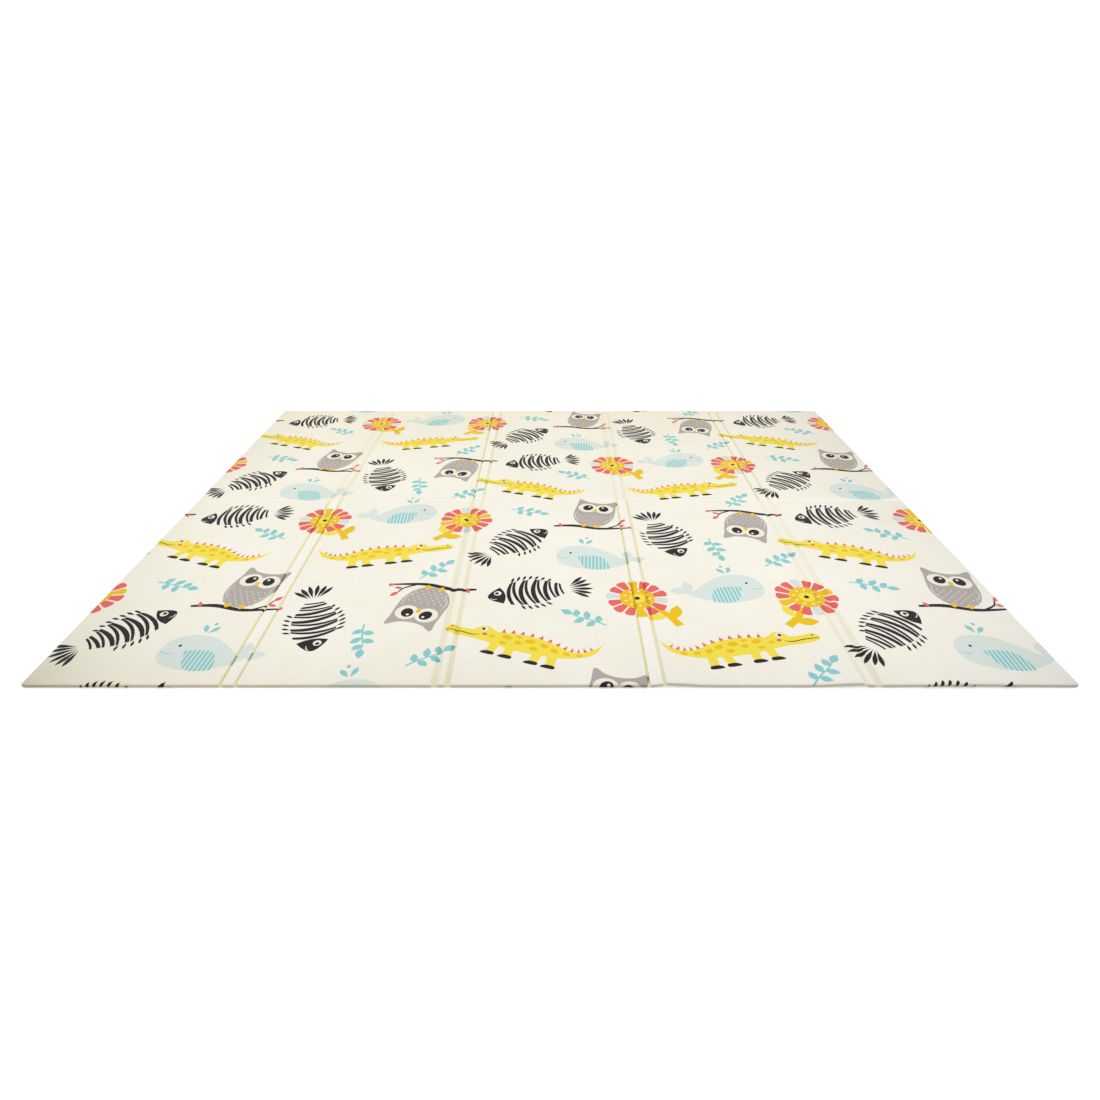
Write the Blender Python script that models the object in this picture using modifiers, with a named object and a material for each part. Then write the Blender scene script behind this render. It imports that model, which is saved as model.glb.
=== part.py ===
"""Folding foam play mat, laid out flat. Metres, +Z up, front edge towards -Y.

One closed slab of foam with its film: five panels and four narrow spine strips between paired
hinge grooves, a cross crease near half depth, a rounded rim, and a front edge that lifts a little
beside two of the spines. The origin is on the floor under the middle of the mat.
"""

import math

import bpy

# Overall size
WIDTH = 2.000
DEPTH = 1.500
THICKNESS = 0.010
CORNER_RADIUS = 0.006

# Hinge grooves, pressed in pairs with a narrow spine strip between the two of a pair
PANEL_COUNT = 5
SPINE_WIDTH = 0.030
PANEL_WIDTH = (WIDTH - (PANEL_COUNT - 1) * SPINE_WIDTH) / PANEL_COUNT
WEB_SHARE = 0.25
GROOVE_FLOOR = 0.0010
CRISP_LIP = 0.0036
RELAXED_LIP = 0.0090
RELAXED_SHARE = 0.50
GROOVE_STATIONS = (GROOVE_FLOOR, CRISP_LIP, 0.0062, RELAXED_LIP)

# Cross crease, a little behind half depth, where each groove changes from crisp to relaxed
CREASE_PLACE = DEPTH / 2 + 0.012
CREASE_SHARE = 0.90
CREASE_HALF_WIDTH = 0.004
CHANGE_LENGTH = 0.020

# How far each pair's left and right groove lie to the right of their straight lines, in millimetres,
# at these places from the front edge
CREEP_PLACES = (0.0, 0.30, 0.74, 0.78, 0.95, DEPTH)
GROOVE_CREEP = (
    ((1.5, 0.3, 0.0, 2.0, 8.5, 11.5), (0.0, 0.0, 1.0, 0.5, 2.5, 9.0)),
    ((-1.0, -1.5, 0.0, 0.5, 1.8, 6.0), (-6.0, -6.0, -4.5, -2.5, -1.0, 4.0)),
    ((-0.7, -0.5, 0.0, 1.5, 1.5, 1.8), (-1.5, -1.2, -1.0, -4.0, -4.0, -2.8)),
    ((2.0, 3.3, 0.7, -0.5, -1.2, -1.8), (-2.5, -2.5, -0.5, -2.2, -2.5, -2.8)),
)
MILLIMETRE = 0.001

# Rim: half thickness falls from full to RIM_SHARE over RIM_ROUND
RIM_SHARE = 0.30
RIM_ROUND = 0.005
RIM_STATIONS = (0.0, 0.0006, 0.0020, RIM_ROUND, CORNER_RADIUS)

# Where the front edge stands off the floor. x is from the mat's left edge.
# peak x, run to the left, run to the right, height, reach from the front edge
FRONT_LIFTS = (
    (1.060, 0.040, 0.040, 0.0006, 0.06),
    (1.227, 0.039, 0.075, 0.0048, 0.16),
    (1.585, 0.100, 0.027, 0.0046, 0.20),
    (1.790, 0.200, 0.190, 0.0021, 0.12),
)
LIFT_PARTS = (0.25, 0.5, 0.75, 1.0)

# Widest gap between two lines of the cage, and the least that two added lines keep
STEP_X = 0.120
STEP_Y = 0.150
LEAST_STEP = 0.006

FILM_COLOUR = (0.90, 0.88, 0.80, 1.0)
FILM_ROUGHNESS = 0.42


def smooth_step(low, high, value):
    """0 up to low, 1 from high on, smooth between."""
    t = min(1.0, max(0.0, (value - low) / (high - low)))
    return t * t * (3.0 - 2.0 * t)


def between(value, places, heights):
    """Height at a value on the straight runs between the given places and their heights."""
    for low, high, start, end in zip(places, places[1:], heights, heights[1:]):
        if value <= high:
            return start + (end - start) * max(0.0, value - low) / (high - low)
    return heights[-1]


def groove_lines():
    """(pair number, x from the left edge) of each groove's straight centre line."""
    lines = []
    for pair in range(PANEL_COUNT - 1):
        first = (pair + 1) * PANEL_WIDTH + pair * SPINE_WIDTH
        lines.append((pair, first))
        lines.append((pair, first + SPINE_WIDTH))
    return lines


def crispness(pair, y):
    """1 where that pair is pressed crisp at this depth, 0 where it has relaxed."""
    behind = smooth_step(-CHANGE_LENGTH, CHANGE_LENGTH, y - CREASE_PLACE)
    return behind if pair % 2 else 1.0 - behind


def groove_share(x, y):
    """Share of the thickness that the grooves leave at a point, before they are moved sideways."""
    share = 1.0
    for pair, line in groove_lines():
        away = abs(x - line)
        crisp = crispness(pair, y)
        floor = RELAXED_SHARE + (WEB_SHARE - RELAXED_SHARE) * crisp
        lip = RELAXED_LIP + (CRISP_LIP - RELAXED_LIP) * crisp
        share = min(share, floor + (1.0 - floor) * smooth_step(GROOVE_FLOOR, lip, away))
    return share


def sideways(x, y):
    """How far a point is moved to the right, with the grooves on either side of it."""
    places = [0.0]
    moves = [0.0]
    for number, (pair, line) in enumerate(groove_lines()):
        move = MILLIMETRE * between(y, CREEP_PLACES, GROOVE_CREEP[pair][number % 2])
        places += [line - RELAXED_LIP, line + RELAXED_LIP]
        moves += [move, move]
    return between(x, [*places, WIDTH], [*moves, 0.0])


def crease_share(y):
    """Share of the thickness that the cross crease leaves."""
    away = abs(y - CREASE_PLACE)
    return CREASE_SHARE + (1.0 - CREASE_SHARE) * smooth_step(0.0, CREASE_HALF_WIDTH, away)


def rim_share(inset):
    """Share of the thickness at this distance in from the rim."""
    out = max(0.0, 1.0 - inset / RIM_ROUND)
    return RIM_SHARE + (1.0 - RIM_SHARE) * math.sqrt(1.0 - out * out)


def lift(x, y):
    """How far the mat stands off the floor at a point."""
    height = 0.0
    for peak, left, right, rise, reach in FRONT_LIFTS:
        across = (peak - x) / left if x < peak else (x - peak) / right
        inward = y / reach
        if across < 1.0 and inward < 1.0:
            fade = math.cos(math.pi / 2 * across) * math.cos(math.pi / 2 * inward)
            height += rise * fade * fade
    return height


def round_corner(x, y):
    """(x, y, inset) with the square corners drawn in to CORNER_RADIUS."""
    from_side = min(x, WIDTH - x)
    from_end = min(y, DEPTH - y)
    if from_side >= CORNER_RADIUS or from_end >= CORNER_RADIUS:
        return x, y, min(from_side, from_end)
    across = 1.0 - from_side / CORNER_RADIUS
    along = 1.0 - from_end / CORNER_RADIUS
    round_across = across * math.sqrt(1.0 - along * along / 2)
    round_along = along * math.sqrt(1.0 - across * across / 2)
    side = CORNER_RADIUS * (1.0 - round_across)
    end = CORNER_RADIUS * (1.0 - round_along)
    inset = CORNER_RADIUS * (1.0 - math.hypot(round_across, round_along))
    return (
        side if x < WIDTH / 2 else WIDTH - side,
        end if y < DEPTH / 2 else DEPTH - end,
        inset,
    )


def stations(length, needed, wanted, step):
    """Sorted places from 0 to length: all needed, wanted ones that keep clear of them, and even fill."""
    places = list(RIM_STATIONS)
    places += [length - inset for inset in RIM_STATIONS]
    places += needed
    for place in wanted:
        if all(abs(place - other) >= LEAST_STEP for other in places):
            places.append(place)
    places.sort()
    filled = [places[0]]
    for place in places[1:]:
        gap = place - filled[-1]
        parts = math.ceil(gap / step)
        start = filled[-1]
        filled += [start + gap * part / parts for part in range(1, parts + 1)]
    return filled


def x_stations():
    needed = []
    for _, line in groove_lines():
        for offset in GROOVE_STATIONS:
            needed += [line - offset, line + offset]
    wanted = []
    for peak, left, right, _, _ in FRONT_LIFTS:
        wanted.append(peak)
        for part in LIFT_PARTS:
            wanted += [peak - left * part, peak + right * part]
    return stations(WIDTH, needed, wanted, STEP_X)


def y_stations():
    needed = [CREASE_PLACE]
    for offset in (CREASE_HALF_WIDTH, CHANGE_LENGTH):
        needed += [CREASE_PLACE - offset, CREASE_PLACE + offset]
    longest = max(reach for _, _, _, _, reach in FRONT_LIFTS)
    wanted = [longest * part for part in LIFT_PARTS]
    wanted += CREEP_PLACES
    return stations(DEPTH, needed, wanted, STEP_Y)


def film_material():
    material = bpy.data.materials.new("printed_film")
    material.use_nodes = True
    shader = material.node_tree.nodes["Principled BSDF"]
    shader.inputs["Base Color"].default_value = FILM_COLOUR
    shader.inputs["Roughness"].default_value = FILM_ROUGHNESS
    shader.inputs["Metallic"].default_value = 0.0
    return material


def make_mat(collection):
    """A grid at mid height, thickened by a weight that thins it at grooves, crease and rim."""
    columns = x_stations()
    rows = y_stations()
    bpy.ops.mesh.primitive_grid_add(
        x_subdivisions=len(columns) - 1,
        y_subdivisions=len(rows) - 1,
        size=1.0,
        location=(0.0, 0.0, 0.0),
    )
    mat = bpy.context.active_object
    mat.name = "mat"
    mat.data.name = "mat"
    weights = mat.vertex_groups.new(name="thickness")
    for vertex in mat.data.vertices:
        column = round((vertex.co.x + 0.5) * (len(columns) - 1))
        row = round((vertex.co.y + 0.5) * (len(rows) - 1))
        x, y, inset = round_corner(columns[column], rows[row])
        share = min(rim_share(inset), groove_share(x, y), crease_share(y))
        weights.add([vertex.index], share, "REPLACE")
        x += sideways(x, y)
        height = THICKNESS / 2 + lift(x, y)
        vertex.co = (x - WIDTH / 2, y - DEPTH / 2, height)

    slab = mat.modifiers.new("slab", "SOLIDIFY")
    slab.thickness = THICKNESS
    slab.offset = 0.0
    slab.vertex_group = weights.name
    slab.thickness_vertex_group = 0.0
    slab.use_rim = True

    mat.data.materials.append(film_material())
    for other in list(mat.users_collection):
        other.objects.unlink(mat)
    collection.objects.link(mat)
    return mat


def main():
    for old in list(bpy.data.objects):
        bpy.data.objects.remove(old, do_unlink=True)
    collection = bpy.data.collections.new("play_mat")
    bpy.context.scene.collection.children.link(collection)
    make_mat(collection)


main()
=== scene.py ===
"""Looks of the folding foam play mat: its printed film with the pressed grooves, rim and lifted front edge.

The film is drawn flat, as a printer would, from closed outlines in a few inks. It is cut into
triangles along those outlines and then laid over the slab, round the rim and into the grooves.
"""

import math

import bpy
import numpy as np
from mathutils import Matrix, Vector
from mathutils.geometry import delaunay_2d_cdt


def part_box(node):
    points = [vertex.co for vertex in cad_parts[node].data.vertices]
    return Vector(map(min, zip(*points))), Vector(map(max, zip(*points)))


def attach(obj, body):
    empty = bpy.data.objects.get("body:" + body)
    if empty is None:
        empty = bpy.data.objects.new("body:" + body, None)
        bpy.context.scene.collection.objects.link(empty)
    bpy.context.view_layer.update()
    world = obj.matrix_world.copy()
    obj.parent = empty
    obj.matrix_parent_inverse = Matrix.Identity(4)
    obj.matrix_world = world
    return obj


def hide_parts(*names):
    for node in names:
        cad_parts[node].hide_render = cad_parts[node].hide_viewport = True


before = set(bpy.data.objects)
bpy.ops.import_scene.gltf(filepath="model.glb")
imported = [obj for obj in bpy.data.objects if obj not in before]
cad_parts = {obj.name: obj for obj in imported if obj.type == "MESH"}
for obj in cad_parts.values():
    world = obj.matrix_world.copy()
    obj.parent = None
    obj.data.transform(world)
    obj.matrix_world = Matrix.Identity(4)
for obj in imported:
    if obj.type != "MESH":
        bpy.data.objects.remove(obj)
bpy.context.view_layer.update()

MAT_LOW, MAT_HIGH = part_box("mat")

# Sizes of the slab, in metres
WIDTH = MAT_HIGH.x - MAT_LOW.x
DEPTH = MAT_HIGH.y - MAT_LOW.y
HALF_THICKNESS = 0.005
CORNER_RADIUS = 0.006
RIM_ROUND = 0.005

# The film is flat for FLAT_RUN past the core rectangle, then turns round the rim for RIM_RUN
CORE_X = WIDTH / 2 - CORNER_RADIUS
CORE_Y = DEPTH / 2 - CORNER_RADIUS
FLAT_RUN = CORNER_RADIUS - RIM_ROUND
RIM_RUN = math.pi * RIM_ROUND
FILM_X = CORE_X + FLAT_RUN + RIM_RUN
FILM_Y = CORE_Y + FLAT_RUN + RIM_RUN

# Grooves
PANEL_COUNT = 5
SPINE_WIDTH = 0.030
PANEL_WIDTH = (WIDTH - (PANEL_COUNT - 1) * SPINE_WIDTH) / PANEL_COUNT

# share of the thickness left, half width of the floor, half width to the lip, yellowing of the floor,
# yellowing of the two fine lines where the press's edges were, and painted shade in the groove
GROOVE_KINDS = {
    "crisp": (0.30, 0.0011, 0.0032, 1.00, 0.00, 0.00),
    "wide": (0.32, 0.0014, 0.0039, 0.72, 0.00, 0.00),
    "faded": (0.36, 0.0014, 0.0040, 0.46, 0.00, 0.02),
    "thin": (0.60, 0.0008, 0.0054, 0.36, 0.00, 0.08),
    "slot": (0.50, 0.0024, 0.0068, 0.46, 0.54, 0.17),
    "hollow": (0.48, 0.0030, 0.0090, 0.26, 0.34, 0.13),
    "faint": (0.52, 0.0012, 0.0090, 0.20, 0.26, 0.03),
    "broad": (0.50, 0.0006, 0.0090, 0.22, 0.04, 0.045),
    "deep": (0.50, 0.0006, 0.0090, 0.28, 0.00, 0.11),
    "sharp": (0.50, 0.0006, 0.0074, 0.27, 0.00, 0.08),
}
PRESS_LINE_AWAY = 0.0042
PRESS_LINE_SPREAD = 0.0011
# For each spine its left groove, then its right one. A groove has a kind at the front edge, in front of the
# cross crease, behind it and at the back edge, then how far it lies to the right of its straight line, in
# millimetres, at each of the CREEP_PLACES, which are y from the middle
CREEP_PLACES = (-0.75, -0.45, -0.01, 0.03, 0.20, 0.75)
SPINE_GROOVES = (
    (
        (("crisp", "wide", "broad", "broad"), (1.5, 0.3, 0.0, 2.0, 8.5, 11.5)),
        (("crisp", "crisp", "deep", "deep"), (0.0, 0.0, 1.0, 0.5, 2.5, 9.0)),
    ),
    (
        (("hollow", "hollow", "crisp", "crisp"), (-1.0, -1.5, 0.0, 0.5, 1.8, 6.0)),
        (("slot", "thin", "wide", "wide"), (-6.0, -6.0, -4.5, -2.5, -1.0, 4.0)),
    ),
    (
        (("crisp", "crisp", "sharp", "broad"), (-0.7, -0.5, 0.0, 1.5, 1.5, 1.8)),
        (("wide", "wide", "sharp", "sharp"), (-1.5, -1.2, -1.0, -4.0, -4.0, -2.8)),
    ),
    (
        (("thin", "faint", "crisp", "wide"), (2.0, 3.3, 0.7, -0.5, -1.2, -1.8)),
        (("hollow", "faint", "faded", "faded"), (-2.5, -2.5, -0.5, -2.2, -2.5, -2.8)),
    ),
)
MILLIMETRE = 0.001
GROOVE_OFFSETS = (0.0, 0.0010, 0.0022, 0.0034, 0.0048, 0.0068, 0.0090)
# How much of the strip colour each spine's strip takes, in front of the cross crease and behind it, and the
# painted shade where it takes less
STRIP_COLOUR_SHARES = ((1.0, 0.0), (0.0, 1.0), (1.0, 0.0), (0.0, 1.0))
STRIP_SHADE = 0.014
STRIP_BLUR = 0.003
# Painted shade that deepens in the grooves towards the front edge, and over what length it fades
FRONT_SHADE = 0.10
FRONT_SHADE_LENGTH = 0.08

# Cross crease, y from the middle
CREASE_PLACE = 0.012
CREASE_SHARE = 0.90
CREASE_HALF_WIDTH = 0.004
CREASE_OFFSETS = (-0.008, -0.004, -0.0015, 0.0, 0.0015, 0.004, 0.008)
CREASE_STEP = 0.004
CHANGE_LENGTH = 0.020

# Where the front edge stands off the floor, x from the mat's middle:
# peak x, run to the left, run to the right, height, reach from the front edge
FRONT_LIFTS = (
    (0.060, 0.040, 0.040, 0.0006, 0.06),
    (0.227, 0.039, 0.075, 0.0048, 0.16),
    (0.585, 0.100, 0.027, 0.0046, 0.20),
    (0.790, 0.200, 0.190, 0.0021, 0.12),
)

# Spacing of the film's own points
GROOVE_STEP = 0.025
PANEL_STEP = 0.030
FRONT_STEP = 0.014
FRONT_REACH = 0.21
UNDER_STEP = 0.060
RIM_TURNS = (0, 18, 36, 54, 72, 90, 112, 135, 158)
CORNER_PARTS = 8
# Points nearer than this become one
FILM_NEARNESS = 1e-6
UNDER_NEARNESS = 1e-7
# How far apart two points are whose slope gives a normal
NORMAL_STEP = 0.0001

CENTIMETRE = 0.01


# The print's outlines, in centimetres


def smooth(points, closed=True, per_span=4):
    """Points of a smooth curve through the given ones."""
    count = len(points)
    spans = count if closed else count - 1
    curve = []
    for span in range(spans):
        ahead = [points[(span + k) % count] for k in (-1, 0, 1, 2)]
        if not closed:
            ahead[0] = points[max(span - 1, 0)]
            ahead[3] = points[min(span + 2, count - 1)]
        a, b, c, d = (np.array(point, float) for point in ahead)
        for part in range(per_span):
            t = part / per_span
            curve.append(
                tuple(
                    0.5
                    * (
                        2 * b
                        + (c - a) * t
                        + (2 * a - 5 * b + 4 * c - d) * t * t
                        + (3 * b - a - 3 * c + d) * t ** 3
                    )
                )
            )
    if not closed:
        curve.append(tuple(points[-1]))
    return curve


def turned(points, angle, x=0.0, y=0.0):
    """Points turned by an angle in degrees about zero, then moved."""
    c, s = math.cos(math.radians(angle)), math.sin(math.radians(angle))
    return [(x + px * c - py * s, y + px * s + py * c) for px, py in points]


def oval(x, y, across, along, angle=0.0, steps=16):
    """An oval about x, y with these half widths."""
    loop = [
        (across * math.cos(2 * math.pi * k / steps), along * math.sin(2 * math.pi * k / steps))
        for k in range(steps)
    ]
    return turned(loop, angle, x, y)


def leaf(x, y, length, width, angle, belly=1.0, steps=8):
    """A leaf from its stalk at x, y. Belly over 1 puts its widest place nearer the tip."""
    side = []
    for k in range(1, steps):
        t = k / steps
        side.append((length * t, width / 2 * math.sin(math.pi * t ** belly)))
    right = [(px, -py) for px, py in side]
    loop = [(0.0, 0.0), *right, (length, 0.0), *reversed(side)]
    return turned(loop, angle, x, y)


def ribbon(points, widths, per_span=4):
    """A brush stroke along a smooth curve, its width eased from one given value to the next."""
    line = np.array(smooth(points, closed=False, per_span=per_span))
    along = np.linspace(0, len(widths) - 1, len(line))
    half = np.interp(along, range(len(widths)), widths)[:, None] / 2
    run = np.gradient(line, axis=0)
    run /= np.linalg.norm(run, axis=1)[:, None]
    out = np.stack([run[:, 1], -run[:, 0]], axis=1)
    right = line + out * half
    left = line - out * half
    return [tuple(p) for p in right] + [tuple(p) for p in left[::-1]]


def petal(inner, outer, middle, spread):
    """A petal between two radii, with soft outer corners, about its middle angle in degrees."""
    half = spread / 2
    shoulder = outer - 0.35
    loop = [
        (inner, -half * 0.86),
        (shoulder, -half),
        (outer, -half * 0.62),
        (outer + 0.1, 0.0),
        (outer, half * 0.62),
        (shoulder, half),
        (inner, half * 0.86),
    ]
    return [
        (
            radius * math.cos(math.radians(middle + swing)),
            radius * math.sin(math.radians(middle + swing)),
        )
        for radius, swing in loop
    ]


class Drawing:
    """Filled outlines in paint order. One with a mask shows only inside that earlier outline."""

    def __init__(self):
        self.shapes = []

    def add(self, ink, outline, mask=None):
        self.shapes.append((ink, outline, mask))
        return len(self.shapes) - 1


def crocodile():
    """Walks to the right: a ridge of teeth along its back, four booted legs and a spotted body."""
    d = Drawing()
    back = [(5.6, 2.0), (2.0, 2.7), (-2.0, 2.9), (-6.0, 2.3), (-9.5, 1.2), (-12.4, 1.4), (-14.6, 3.2)]
    ridge = smooth(back, closed=False, per_span=6)
    for k in range(1, len(ridge) - 2, 3):
        (x0, y0), (x1, y1) = ridge[k], ridge[k + 2]
        run = math.hypot(x1 - x0, y1 - y0)
        down = ((y0 - y1) / run, (x1 - x0) / run)
        tip = ((x0 + x1) / 2 - down[0] * 1.3, (y0 + y1) / 2 - down[1] * 1.3)
        root = [(x + down[0] * 0.4, y + down[1] * 0.4) for x, y in ((x1, y1), (x0, y0))]
        d.add("coral", [tip, *root])
    for x, lean in ((4.6, 0.5), (1.6, -0.3), (-4.6, 0.4), (-7.4, -0.4)):
        ankle = x + lean
        leg = [(x - 1.0, -0.6), (ankle - 0.9, -4.2), (ankle + 0.9, -4.2), (x + 1.1, -0.6)]
        foot = [(ankle - 0.95, -4.2), (ankle - 0.95, -5.1), (ankle + 1.7, -5.1), (ankle + 0.9, -4.2)]
        d.add("yellow", leg)
        d.add("charcoal", smooth(foot, per_span=3))
    body = d.add(
        "yellow",
        smooth(
            [(-15.9, 5.3), (-14.9, 1.6), (-11.6, -0.7), (-8.0, -1.7), (-3.0, -2.3), (2.0, -2.3), (5.6, -1.8)]
            + [(9.5, -1.5), (13.4, -1.6), (16.2, -1.2), (16.9, 0.0), (16.0, 1.2), (13.6, 1.0), (11.0, 1.2)]
            + [(10.0, 2.6), (8.4, 3.2), (7.0, 2.5)]
            + back
        ),
    )
    spots = (
        (3.4, 1.1, 1.1, 0.7, 10),
        (0.6, 0.2, 0.8, 0.6, 0),
        (1.0, 1.9, 0.7, 0.4, 0),
        (-1.6, 1.3, 1.2, 0.7, -8),
        (-3.0, -0.6, 0.9, 0.6, 0),
        (-4.8, 1.0, 1.0, 0.6, 12),
        (-7.2, 0.2, 0.9, 0.6, 20),
        (-9.8, 0.1, 0.8, 0.5, 10),
        (-12.4, 0.5, 0.7, 0.45, -25),
        (3.6, -0.9, 0.8, 0.5, 0),
        (6.4, 0.3, 0.7, 0.45, 0),
    )
    for x, y, across, along, angle in spots:
        d.add("amber", oval(x, y, across, along, angle, 12), body)
    mouth = [(16.6, -0.5), (13.6, -0.3), (10.8, -0.5), (9.2, 0.1)]
    d.add("charcoal", ribbon(mouth, (0.18, 0.26, 0.26, 0.12), 3))
    d.add("milk", oval(8.9, 2.0, 0.75, 0.75, steps=14))
    d.add("charcoal", oval(9.1, 2.0, 0.40, 0.42, steps=12))
    d.add("charcoal", oval(15.7, 0.6, 0.20, 0.26, steps=8))
    d.add("coral", oval(8.2, 0.5, 0.55, 0.42, steps=12))
    return d


def fish():
    """Swims to the right: uneven stripes inside a body that has no fill, a dark head and rows of fins."""
    d = Drawing()
    body = d.add(
        None,
        smooth(
            [(11.6, -0.3), (9.4, 2.5), (4.6, 5.0), (-1.2, 5.2), (-5.8, 3.1), (-8.6, 1.0), (-8.6, -1.0)]
            + [(-5.8, -2.7), (-1.2, -4.7), (4.6, -4.8), (9.4, -2.8)]
        ),
    )
    x = -8.2
    reach = 5.8
    gap = 0.55
    for k, width in enumerate((0.55, 0.85, 0.65, 1.1, 0.75, 1.2, 0.8, 1.15, 0.85, 1.0)):
        lean = 0.35 * (-1) ** k
        rows = np.linspace(-reach, reach, 8)
        back = [(x + 1.3 * (1 - (y / reach) ** 2) + lean * y / 5, y) for y in rows]
        front = [(px + width * (0.5 + 0.5 * math.cos(1.25 * py / reach)), py) for px, py in back]
        d.add("charcoal", [*front, *reversed(back)], body)
        x += width + gap
    d.add("charcoal", oval(12.9, -0.3, 5.7, 6.2, steps=24), body)
    d.add("milk", oval(9.0, 0.9, 0.95, 0.95, steps=14))
    d.add("charcoal", oval(9.2, 0.9, 0.46, 0.5, steps=10))
    d.add("milk", ribbon([(11.1, -1.0), (10.3, -1.5), (9.4, -1.4)], (0.16, 0.24, 0.10), 3))
    for swing in (-42, -26, -9, 9, 26, 42):
        d.add("charcoal", leaf(-8.9, swing * 0.024, 6.0 - abs(swing) * 0.014, 1.1, 180 - swing, 1.5, 6))
    for k in range(7):
        x = 5.2 - 1.5 * k
        d.add("charcoal", leaf(x, 5.45 - 0.06 * (x - 1.4) ** 2, 2.6 - 0.14 * k, 0.72, 112 + 4 * k, 1.2, 5))
    for k in range(5):
        x = 4.0 - 1.5 * k
        d.add("charcoal", leaf(x, -5.15 + 0.05 * (x - 1.6) ** 2, 2.2, 0.68, -112 - 5 * k, 1.2, 5))
    return d


def flower():
    """Stands on its stalk: two leaves, a ring of petals and a dotted middle."""
    d = Drawing()
    d.add("amber", ribbon([(0.2, -4.8), (0.9, -8.2), (0.2, -12.8)], (1.5, 1.6, 1.9)))
    d.add("amber", leaf(0.7, -10.6, 5.4, 2.7, 36, 1.1))
    d.add("yellow", leaf(0.5, -9.0, 4.8, 2.3, 146, 1.1))
    inks = ("coral", "coral", "amber", "coral", "coral", "sky", "coral")
    share = 360 / (2 * len(inks))
    for k, ink in enumerate((*inks, *inks)):
        d.add(ink, petal(3.2, 6.7 + 0.25 * (k % 2), k * share + 5, share * 0.84))
    d.add("amber", oval(0, 0, 3.9, 3.9, steps=28))
    for k in range(9):
        angle = 40 * k
        spot = turned([(2.75, 0)], angle)[0]
        d.add("milk", oval(*spot, 0.42, 0.26, angle, 8))
    d.add("yellow", oval(0, 0, 1.8, 1.8, steps=18))
    d.add("charcoal", oval(0, 0, 0.6, 0.6, steps=12))
    return d


def owl():
    """Sits on a twig with buds: an eared body with a speckled belly, round eyes, wings and feet."""
    d = Drawing()
    twig = [(-9.4, -8.6), (-4.0, -7.3), (2.5, -7.6), (9.8, -5.7)]
    d.add("charcoal", ribbon(twig, (0.7, 1.25, 1.1, 0.5), 5))
    d.add("charcoal", ribbon([(4.6, -7.0), (6.9, -4.9), (7.5, -2.9)], (0.6, 0.42, 0.3), 3))
    d.add("coral", leaf(7.5, -3.2, 2.4, 1.2, 62, 0.9))
    d.add("coral", leaf(7.1, -4.6, 2.1, 1.0, -6, 0.9))
    d.add("coral", oval(10.3, -5.4, 0.62, 0.62, steps=12))
    d.add("coral", leaf(-7.2, -8.4, 2.0, 1.0, 122, 0.9))
    right = [(3.4, -5.7), (5.3, -2.0), (5.5, 2.2), (5.3, 5.2), (5.4, 7.9), (4.7, 8.3), (2.8, 7.0)]
    left = [(-x, y) for x, y in reversed(right)]
    body = d.add("grey", smooth([(0.0, -6.9), *right, (0.0, 6.5), *left]))
    for row in range(6):
        count = 6 - (row % 2)
        for k in range(count):
            x = (k - (count - 1) / 2) * 1.55
            y = -0.9 - row * 0.98
            d.add("speckle", oval(x, y, 0.19, 0.32, x * 4, 6), body)
    d.add("milk", oval(2.3, 3.4, 2.55, 2.5, steps=22))
    d.add("milk", oval(-2.3, 3.4, 2.55, 2.5, steps=22))
    for side in (-1, 1):
        d.add("charcoal", oval(side * 2.15, 3.5, 1.35, 1.6, side * 18, 18))
        d.add("milk", oval(side * 1.8, 4.15, 0.36, 0.36, steps=8))
        wing = [(side * 4.6, 1.0), (side * 4.9, -1.8), (side * 3.5, -4.4)]
        d.add("speckle", ribbon(wing, (0.12, 0.3, 0.12), 4))
        toe = side * 1.7
        claw = [(toe - 0.9, -6.3), (toe, -7.5), (toe + 0.9, -6.3), (toe, -6.0)]
        d.add("amber", smooth(claw, per_span=3))
    d.add("amber", smooth([(0, 1.5), (0.62, 2.5), (0, 3.1), (-0.62, 2.5)], per_span=3))
    return d


def whale():
    """Swims to the right: two tail fins, a pale body with a striped side fin, and a spout."""
    d = Drawing()
    d.add("pale", leaf(-7.6, 0.9, 4.9, 2.7, 158, 1.2))
    d.add("pale", leaf(-7.8, 0.7, 4.7, 2.6, 82, 1.2))
    d.add(
        "pale",
        smooth(
            [(9.4, -1.4), (9.0, 2.2), (6.0, 4.6), (1.4, 5.0), (-3.2, 3.2), (-6.4, 1.3), (-8.4, 1.7)]
            + [(-8.6, 0.1), (-6.0, -2.6), (-1.6, -4.9), (3.4, -5.5), (7.6, -4.4)]
        ),
    )
    fin = d.add(None, leaf(4.4, -0.2, 9.6, 6.2, 203, 1.1, 12))
    for k in range(13):
        x = -5.8 + 0.90 * k
        d.add("aqua", [(x, -7.4), (x + 0.54, -7.4), (x + 2.5, 2.6), (x + 1.96, 2.6)], fin)
    d.add("charcoal", oval(6.3, 0.9, 0.34, 0.36, steps=10))
    d.add("aqua", ribbon([(9.1, -1.5), (7.4, -1.9), (6.2, -1.2)], (0.12, 0.24, 0.10), 3))
    d.add("aqua", leaf(3.6, 5.7, 3.0, 1.15, 118, 1.3))
    d.add("aqua", leaf(4.0, 5.7, 3.0, 1.15, 58, 1.3))
    d.add("aqua", oval(3.8, 8.9, 0.42, 0.5, steps=10))
    return d


def sprig():
    """A stalk with leaves in turn on either side and one at its tip."""
    d = Drawing()
    d.add("aqua", ribbon([(-4.9, -1.1), (-1.8, -0.2), (1.4, 0.2), (3.4, 0.9)], (0.42, 0.36, 0.26), 4))
    d.add("aqua", leaf(3.0, 0.8, 3.0, 1.75, 18, 0.9))
    leaves = (
        (-3.1, -0.6, 2.6, 78),
        (-2.3, -0.3, 2.7, -60),
        (-0.6, 0.0, 2.9, 70),
        (0.2, 0.1, 2.8, -52),
        (1.9, 0.4, 2.4, 74),
    )
    for x, y, length, angle in leaves:
        d.add("aqua", leaf(x, y, length, 1.6, angle, 0.9))
    return d


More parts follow.
